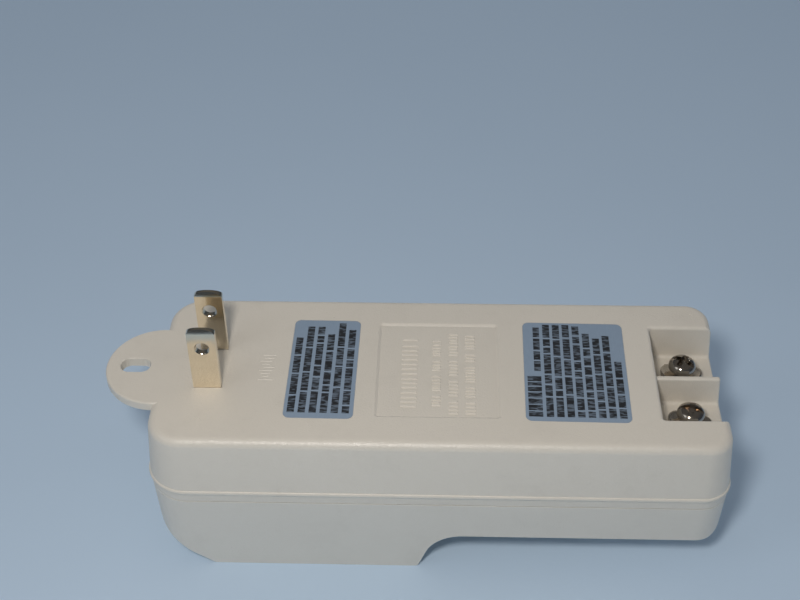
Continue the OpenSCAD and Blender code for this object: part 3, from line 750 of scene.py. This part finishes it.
def thread(foot, top, crest, root):
    """A right-handed screw thread with a tapered point, as one closed sweep of a turned profile."""
    sides, rings_per_turn = 48, 12
    point_h, run_in, run_out = 0.4, 0.7, 0.5
    flank, crest_flat, point_drop = 0.88, 1.15, 0.25
    count = int((top - foot) / (THREAD_PITCH / rings_per_turn))
    rings = []
    for i in range(count + 1):
        z = foot + (top - foot) * i / count
        near = min(1, (z - foot) / run_in, (top - z) / run_out)
        ring = []
        for k in range(sides):
            turn = (z / THREAD_PITCH - k / sides) % 1
            v = 1 - min(1, abs(turn - 0.5) * 2 / flank)
            r = root + (crest - root) * max(0, min(1, v * crest_flat)) * max(0, near)
            r -= point_drop * max(0, 1 - (z - foot) / point_h)
            a = 2 * math.pi * k / sides
            ring.append((r * math.cos(a), r * math.sin(a), z))
        rings.append(ring)
    return loft("thread", rings)


def screw(side):
    """Round head with a slot and a cross recess, plain neck and helical thread."""
    head_h, head_r, rim_h, dome_steps = 2.45, 3.2, 0.42, 17
    neck_r, neck_h, cad_head_h = 1.45, 2.6, 2.6
    under = SCREW_HIGH.z - cad_head_h
    rows = [(neck_r, -neck_h), (neck_r, -0.02), (1.5, 0), (head_r - 0.16, 0),
            (head_r - 0.05, 0.05), (head_r, 0.18)]
    rows += [(head_r * math.cos(a) ** 0.86, rim_h + (head_h - rim_h) * math.sin(a))
             for a in (math.pi / 2 * i / dome_steps for i in range(dome_steps))]
    head = revolve("terminal_screw_%s_metal" % end_name(side), 0, 0, rows, 96)
    slot_half, slot_d = 0.5, 1.05
    cut(head, brick("slot", (-4, -slot_half, head_h - slot_d), (4, slot_half, head_h + 1)))
    cross = []
    for depth, reach, half in ((-0.6, 2.55, 0.76), (1.7, 1.5, 0.48), (2.1, 0.5, 0.25)):
        cross.append([(px, py, head_h - depth) for px, py in (
            (reach, -half), (reach, half), (half, half), (half, reach), (-half, reach),
            (-half, half), (-reach, half), (-reach, -half), (-half, -half), (-half, -reach),
            (half, -reach), (half, -half))])
    cut(head, loft("cross", cross[::-1]))
    round_edges(head, lambda m: 0.07 if m.z > 0.6 else 0, segments=3, angle=35)
    add(head, thread(SCREW_LOW.z - under, top=-2.52, crest=1.75, root=1.36))
    return placed_at_terminal(head, side, under, -35 if side > 0 else -17)


# ---- Materials -----------------------------------------------------------------------------
class Graph:
    """Short calls for a node tree. Lengths inside are metres, from Object coordinates."""

    def __init__(self, name):
        self.material = bpy.data.materials.new(name)
        self.material.use_nodes = True
        self.tree = self.material.node_tree
        self.shader = self.tree.nodes["Principled BSDF"]
        self.place = self.node("ShaderNodeTexCoord").outputs["Object"]

    def node(self, kind, inputs=None, **settings):
        n = self.tree.nodes.new(kind)
        for key, value in settings.items():
            setattr(n, key, value)
        for key, value in (inputs or {}).items():
            self.give(n.inputs[key], value)
        return n

    def give(self, socket, value):
        if isinstance(value, bpy.types.NodeSocket):
            self.tree.links.new(value, socket)
        else:
            socket.default_value = value

    def noise(self, scale, detail=3, rough=0.55, stretch=None):
        place = self.place
        if stretch:
            place = self.node("ShaderNodeMapping", {"Vector": place, "Scale": stretch}).outputs[0]
        return self.node("ShaderNodeTexNoise", {"Vector": place, "Scale": scale, "Detail": detail,
                                                "Roughness": rough}).outputs["Fac"]

    def span(self, value, low, high, start=0.3, end=0.7):
        """Maps start to end onto low to high, and holds the ends."""
        return self.node("ShaderNodeMapRange", {"Value": value, "From Min": start, "From Max": end,
                                                "To Min": low, "To Max": high}).outputs[0]

    def mix(self, share, a, b):
        n = self.node("ShaderNodeMix", data_type="RGBA")
        for index, value in ((0, share), (6, a), (7, b)):
            self.give(n.inputs[index], value)
        return n.outputs[2]

    def maths(self, operation, *values):
        return self.node("ShaderNodeMath", dict(enumerate(values)), operation=operation).outputs[0]

    def wave(self, letter, pitch):
        """0 to 1 and back once a pitch along an axis."""
        along = self.node("ShaderNodeSeparateXYZ", {0: self.place}).outputs[letter]
        turn = self.maths("MULTIPLY", along, 2 * math.pi / pitch)
        return self.maths("MULTIPLY_ADD", self.maths("SINE", turn), 0.5, 0.5)

    def edges(self, radius):
        """0 on flat ground, rising to 1 at an edge."""
        soft = self.node("ShaderNodeBevel", {"Radius": radius}, samples=4).outputs[0]
        flat = self.node("ShaderNodeNewGeometry").outputs["Normal"]
        same = self.node("ShaderNodeVectorMath", {0: soft, 1: flat}, operation="DOT_PRODUCT")
        return self.span(same.outputs["Value"], 0.0, 1.0, 0.99, 0.8)

    def bump(self, *layers):
        """Stacks (height, depth in metres) pairs."""
        normal = None
        for height, depth in layers:
            n = self.node("ShaderNodeBump", {"Height": height, "Distance": depth, "Strength": 1.0})
            if normal is not None:
                self.give(n.inputs["Normal"], normal)
            normal = n.outputs[0]
        return normal

    def finish(self, colour, rough, normal, metallic=0.0, **sockets):
        """Gives the shader its inputs. A keyword is a socket's name with _ for each space."""
        self.give(self.shader.inputs["Base Color"], colour)
        self.give(self.shader.inputs["Roughness"], rough)
        self.give(self.shader.inputs["Normal"], normal)
        self.shader.inputs["Metallic"].default_value = metallic
        for key, value in sockets.items():
            self.shader.inputs[key.replace("_", " ")].default_value = value
        return self.material


def rgb(r, g, b):
    return (r, g, b, 1.0)


def casing_material(name, base, deep, edge_highlight):
    """Ivory moulded plastic with a fine spark-eroded skin. Its rounded edges are painted paler, a
    painted highlight.
    """
    g = Graph(name)
    cloud = g.span(g.noise(26, 2, 0.5), 0.0, 1.0)
    speck = g.span(g.noise(2600, 2, 0.6), 0.0, 0.16)
    grime = g.span(g.noise(140, 5, 0.65), 0.0, 0.25, 0.52, 0.78)
    colour = g.mix(g.maths("MULTIPLY", cloud, 0.45), base, deep)
    colour = g.mix(speck, colour, deep)
    colour = g.mix(g.maths("MULTIPLY", grime, 0.4), colour, rgb(0.40, 0.36, 0.30))
    # Paler colour on the rounded edges: a painted highlight along the edge fillets.
    colour = g.mix(g.maths("MULTIPLY", g.edges(0.0006), 0.35), colour, edge_highlight)
    rough = g.maths("ADD", g.span(g.noise(900, 3), 0.30, 0.42),
                    g.span(g.noise(30, 2), -0.03, 0.05))
    normal = g.bump((g.noise(45, 1, 0.4), 0.00005), (g.noise(2700, 2, 0.6), 0.00008))
    return g.finish(colour, rough, normal, Specular_IOR_Level=0.62)


def metal_material(name, base, dull, bright, grain, rough, stretch):
    """Plated metal with drawn lines, faint smudges and brighter rubbed edges."""
    g = Graph(name)
    smudge = g.span(g.noise(230, 4, 0.6), 0.0, 1.0, 0.45, 0.75)
    lines = g.noise(grain, 3, 0.6, stretch)
    colour = g.mix(g.maths("MULTIPLY", smudge, 0.22), base, dull)
    colour = g.mix(g.span(lines, 0.0, 0.12), colour, dull)
    colour = g.mix(g.maths("MULTIPLY", g.edges(0.00018), 0.6), colour, bright)
    worn = g.maths("ADD", g.span(lines, *rough), g.maths("MULTIPLY", smudge, 0.06))
    normal = g.bump((lines, 0.0000015), (g.noise(260, 2), 0.000006))
    return g.finish(colour, worn, normal, metallic=1.0)


def label_material():
    """Blue-grey label stock with faint fibres and a paler rim."""
    g = Graph("label_stock")
    cloud = g.span(g.noise(90, 3), 0.0, 1.0)
    fibre = g.span(g.noise(2200, 3, 0.6, (1, 0.25, 1)), 0.0, 0.22)
    colour = g.mix(g.maths("MULTIPLY", cloud, 0.35), rgb(0.285, 0.365, 0.465),
                   rgb(0.25, 0.325, 0.42))
    colour = g.mix(fibre, colour, rgb(0.20, 0.26, 0.34))
    colour = g.mix(g.maths("MULTIPLY", g.edges(0.0002), 0.5), colour, rgb(0.36, 0.42, 0.48))
    return g.finish(colour, g.span(g.noise(600, 2), 0.34, 0.46),
                    g.bump((g.noise(1500, 2), 0.000006)))


def ink_material():
    """Dark print whose film breaks into fine strokes across each bar."""
    g = Graph("label_ink")
    strokes = g.noise(2600, 1, 0.4, (0.22, 1, 1))
    thin = g.span(strokes, 0.0, 0.85, 0.50, 0.60)
    worn = g.span(g.noise(500, 3), 0.0, 0.25, 0.5, 0.8)
    colour = g.mix(thin, rgb(0.022, 0.024, 0.028), rgb(0.15, 0.19, 0.24))
    colour = g.mix(worn, colour, rgb(0.10, 0.12, 0.15))
    return g.finish(colour, g.span(g.noise(900, 2), 0.38, 0.52), g.bump((strokes, 0.000008)))


def lamination_material():
    """Stacked electrical steel: one line every half millimetre, oil-dark, with a little rust."""
    g = Graph("core_steel")
    sheets = g.wave("Z", 0.0005)
    rust = g.span(g.noise(260, 5, 0.7), 0.0, 1.0, 0.55, 0.72)
    colour = g.mix(sheets, rgb(0.05, 0.05, 0.055), rgb(0.19, 0.19, 0.20))
    colour = g.mix(g.maths("MULTIPLY", rust, 0.5), colour, rgb(0.16, 0.075, 0.035))
    return g.finish(colour, g.span(g.noise(700, 3), 0.35, 0.6),
                    g.bump((sheets, 0.00006), (g.noise(1800, 3), 0.00001)), metallic=0.8)


def winding_material():
    """Layers of enamelled wire, one turn beside the next. Each turn is painted bright along its
    crown and dark where it meets the next, painted shading of the round wire.
    """
    g = Graph("enamelled_wire")
    turns = g.wave("Y", 0.00034)
    tone = g.span(g.noise(900, 3, 0.6, (1, 0.2, 1)), 0.0, 1.0)
    # Bright crowns and dark grooves on each turn: painted shading of round wire.
    colour = g.mix(turns, rgb(0.20, 0.055, 0.018), rgb(0.62, 0.24, 0.085))
    colour = g.mix(g.maths("MULTIPLY", tone, 0.4), colour, rgb(0.40, 0.13, 0.04))
    return g.finish(colour, g.span(g.noise(500, 2), 0.22, 0.36), g.bump((turns, 0.00012)),
                    metallic=0.85, Coat_Weight=0.5)


def tape_material():
    """Clear yellow film wrapped in overlapping layers."""
    g = Graph("film_tape")
    wrap = g.span(g.wave("Z", 0.0062), 0.0, 1.0, 0.86, 0.94)
    mottle = g.span(g.noise(300, 4), 0.0, 1.0)
    colour = g.mix(g.maths("MULTIPLY", mottle, 0.4), rgb(0.74, 0.52, 0.10), rgb(0.58, 0.37, 0.06))
    colour = g.mix(g.maths("MULTIPLY", wrap, 0.5), colour, rgb(0.45, 0.28, 0.05))
    return g.finish(colour, g.span(g.noise(420, 3), 0.12, 0.28),
                    g.bump((wrap, 0.00005), (g.noise(160, 3), 0.00012)))


def nylon_material(name, base, fleck):
    """Filled moulded plastic with short fibres showing in its skin."""
    g = Graph(name)
    fibres = g.span(g.noise(1500, 4, 0.7, (0.3, 1, 1)), 0.0, 0.5, 0.48, 0.7)
    flow = g.span(g.noise(70, 3), 0.0, 0.3)
    colour = g.mix(fibres, base, fleck)
    colour = g.mix(flow, colour, fleck)
    colour = g.mix(g.maths("MULTIPLY", g.edges(0.0003), 0.3), colour, fleck)
    return g.finish(colour, g.span(g.noise(800, 3), 0.38, 0.56), g.bump((fibres, 0.00002)))


def sheet_material():
    """Fibrous insulation paper."""
    g = Graph("fish_paper")
    fibres = g.noise(1300, 6, 0.7, (0.25, 1, 1))
    colour = g.mix(g.span(fibres, 0.0, 1.0), rgb(0.46, 0.33, 0.19), rgb(0.30, 0.20, 0.11))
    colour = g.mix(g.span(g.noise(60, 3), 0.0, 0.35), colour, rgb(0.52, 0.40, 0.26))
    return g.finish(colour, g.span(g.noise(500, 3), 0.7, 0.9), g.bump((fibres, 0.00004)))


def foam_material():
    """Grey closed-cell foam."""
    g = Graph("foam")
    cells = g.node("ShaderNodeTexVoronoi", {"Vector": g.place, "Scale": 1400.0})
    distance = cells.outputs["Distance"]
    # Dark in the middle of each cell's dimple, paler on the cell walls: painted shade in the
    # hollows.
    colour = g.mix(g.span(distance, 0.0, 1.0, 0.05, 0.55), rgb(0.07, 0.07, 0.075),
                   rgb(0.24, 0.24, 0.25))
    colour = g.mix(g.span(g.noise(120, 3), 0.0, 0.3), colour, rgb(0.17, 0.17, 0.18))
    return g.finish(colour, g.span(g.noise(900, 2), 0.85, 0.98), g.bump((distance, 0.0003)))


def lead_material(name, base, worn):
    """Soft PVC insulation with faint handling marks."""
    g = Graph(name)
    marks = g.span(g.noise(350, 5, 0.65), 0.0, 0.5, 0.5, 0.78)
    colour = g.mix(marks, base, worn)
    colour = g.mix(g.span(g.noise(2400, 2), 0.0, 0.12), colour, worn)
    return g.finish(colour, g.span(g.noise(600, 3), 0.36, 0.55),
                    g.bump((g.noise(1600, 3), 0.00002)))


def floor_material():
    """Pale matt paper."""
    g = Graph("paper_sweep")
    tone = g.span(g.noise(9, 3, 0.5), 0.0, 1.0)
    colour = g.mix(g.maths("MULTIPLY", tone, 0.3), rgb(0.55, 0.68, 0.82), rgb(0.51, 0.64, 0.78))
    return g.finish(colour, g.span(g.noise(400, 3), 0.75, 0.88),
                    g.bump((g.noise(900, 4), 0.00002)), Specular_IOR_Level=0.05)


IVORY = casing_material("ivory_plastic", rgb(0.742, 0.688, 0.598), rgb(0.685, 0.630, 0.540),
                        rgb(0.83, 0.79, 0.72))
# The outer cover's copy of the same ivory plastic, a touch cooler: painted cool bounce light from
# the pale blue floor on the lower shell.
IVORY_LOW_PAINTED_BOUNCE = casing_material("ivory_plastic_outer_painted_bounce", rgb(0.728, 0.688, 0.612),
                            rgb(0.672, 0.630, 0.552), rgb(0.82, 0.79, 0.73))
BLADE_METAL = metal_material("blade_plate", rgb(0.80, 0.71, 0.56), rgb(0.58, 0.50, 0.38),
                             rgb(0.95, 0.91, 0.82), grain=3000, rough=(0.09, 0.15),
                             stretch=(1, 1, 0.05))
NICKEL = metal_material("nickel_plate", rgb(0.58, 0.54, 0.48), rgb(0.34, 0.31, 0.27),
                        rgb(0.93, 0.91, 0.86), grain=2600, rough=(0.12, 0.2),
                        stretch=(1, 0.2, 1))
SCREW_METAL = metal_material("screw_plate", rgb(0.47, 0.43, 0.38), rgb(0.26, 0.23, 0.20),
                             rgb(0.90, 0.87, 0.82), grain=2400, rough=(0.08, 0.16),
                             stretch=(1, 1, 0.3))
FUSE_METAL = metal_material("fuse_case", rgb(0.62, 0.62, 0.63), rgb(0.35, 0.35, 0.37),
                            rgb(0.88, 0.88, 0.88), grain=2800, rough=(0.2, 0.34),
                            stretch=(1, 0.08, 1))

# ---- Pieces --------------------------------------------------------------------------------
eye = add_camera()

finish_piece(wall_cover(), "casing", [IVORY], "wall_cover", slot="casing")
finish_piece(outer_cover(), "casing", [IVORY_LOW_PAINTED_BOUNCE], "outer_cover", slot="casing")
for side in (-1, 1):
    end = end_name(side)
    finish_piece(blade(side), "casing", [BLADE_METAL], "blade_" + end, slot="blades")
    finish_piece(washer(side), "washer_" + end, [NICKEL], "clamp_washer_" + end, slot="nickel")
    finish_piece(screw(side), "screw_" + end, [SCREW_METAL], "terminal_screw_" + end,
                 slot="screws", sharp=38)

LABEL_MATERIALS = [label_material(), ink_material()]
for node, rows in (("small_label", SMALL_ROWS), ("large_label", LARGE_ROWS)):
    piece, stock_faces = label(node, rows)
    finish_piece(piece, "casing", LABEL_MATERIALS, node, slot="label", sharp=50)
    for polygon in piece.data.polygons:
        polygon.material_index = 0 if polygon.index < stock_faces else 1

# CAD nodes that keep their own shape
CARRIED = {
    "blade_retainer": nylon_material("phenolic", rgb(0.035, 0.032, 0.03), rgb(0.09, 0.08, 0.07)),
    "e_laminations": lamination_material(),
    "bobbin": nylon_material("bobbin_nylon", rgb(0.72, 0.69, 0.60), rgb(0.58, 0.55, 0.46)),
    "primary_winding": winding_material(),
    "primary_tape": tape_material(),
    "thermal_fuse": FUSE_METAL,
    "insulation_sheet": sheet_material(),
    "base_pad": foam_material(),
    "primary_lead_front": lead_material("lead_white", rgb(0.70, 0.69, 0.66),
                                        rgb(0.52, 0.50, 0.46)),
    "primary_lead_back": lead_material("lead_black", rgb(0.02, 0.02, 0.022),
                                       rgb(0.07, 0.07, 0.07)),
    "secondary_lead_front": lead_material("lead_brown", rgb(0.19, 0.075, 0.03),
                                          rgb(0.29, 0.14, 0.07)),
    "secondary_lead_back": lead_material("lead_red", rgb(0.55, 0.03, 0.025),
                                         rgb(0.38, 0.05, 0.04)),
    "terminal_plate_front": NICKEL,
}
for node, same_as in (("i_laminations", "e_laminations"), ("secondary_winding", "primary_winding"),
                      ("secondary_tape", "primary_tape"),
                      ("terminal_plate_back", "terminal_plate_front")):
    CARRIED[node] = CARRIED[same_as]
for node, material in CARRIED.items():
    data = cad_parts[node].data
    if not data.materials:
        data.materials.append(material)
    for i in range(len(data.materials)):
        data.materials[i] = material


# ---- Studio --------------------------------------------------------------------------------
FLOOR_HALF = 6
FLOOR_GAP = 0.00002
AIM = Vector((0, 0, 0.02))
FADE_END = 0.75


def lamp(name, at, size, power, colour, mirrored=True):
    """A round area light aimed at the object. One that isn't mirrored doesn't show in gloss."""
    data = bpy.data.lights.new(name, "AREA")
    data.shape, data.size, data.energy, data.color = "DISK", size, power, colour
    obj = link(bpy.data.objects.new(name, data))
    obj.visible_glossy = mirrored
    obj.location = at
    obj.rotation_euler = (AIM - Vector(at)).to_track_quat("-Z", "Y").to_euler()


def add_floor():
    r = FLOOR_HALF
    floor = solid("floor", [(-r, -r, 0), (r, -r, 0), (r, r, 0), (-r, r, 0)], [[0, 1, 2, 3]])
    floor.location.z = min(cad_box[0][2], OUTER_LOW.z * MM) - FLOOR_GAP
    floor.data.materials.append(floor_material())


def add_world():
    """Three skies: one lights the object, one shows in its gloss, and the camera sees the third."""
    world = bpy.data.worlds.new("studio")
    world.use_nodes = True
    nodes, links = world.node_tree.nodes, world.node_tree.links
    nodes.remove(nodes["Background"])
    height = nodes.new("ShaderNodeSeparateXYZ")
    links.new(nodes.new("ShaderNodeTexCoord").outputs["Generated"], height.inputs[0])
    path = nodes.new("ShaderNodeLightPath")

    def sky(low, high, start=0.02):
        fade = nodes.new("ShaderNodeValToRGB")
        links.new(height.outputs["Z"], fade.inputs[0])
        for stop, at, colour in zip(fade.color_ramp.elements, (start, FADE_END), (low, high)):
            stop.position, stop.color = at, colour
        light = nodes.new("ShaderNodeBackground")
        links.new(fade.outputs[0], light.inputs[0])
        return light.outputs[0]

    def choose(ray, otherwise, chosen):
        choice = nodes.new("ShaderNodeMixShader")
        for index, source in enumerate((path.outputs[ray], otherwise, chosen)):
            links.new(source, choice.inputs[index])
        return choice.outputs[0]

    ambient = sky(rgb(0.15, 0.20, 0.27), rgb(0.205, 0.212, 0.225))
    mirrored = sky(rgb(0.05, 0.06, 0.075), rgb(0.105, 0.10, 0.095), start=0.35)
    seen = sky(rgb(0.13, 0.15, 0.175), rgb(0.50, 0.54, 0.59))
    lighting = choose("Is Glossy Ray", ambient, mirrored)
    links.new(choose("Is Camera Ray", lighting, seen), nodes["World Output"].inputs[0])
    bpy.context.scene.world = world


add_floor()
lamp("key", eye + Vector((-0.045, 0.01, 0.05)), size=0.05, power=0.55, colour=(1.0, 0.955, 0.90))
lamp("fill", (-0.5, -0.25, 0.55), size=0.35, power=0.3, colour=(0.94, 0.97, 1.0))
lamp("back", (-0.2, 1.25, 0.28), size=0.9, power=3.2, colour=(1.0, 0.985, 0.96), mirrored=False)
lamp("side", (1.3, 0.3, 0.3), size=0.7, power=1.6, colour=(0.96, 0.98, 1.0), mirrored=False)
add_world()
bpy.context.scene.view_settings.view_transform = "Standard"
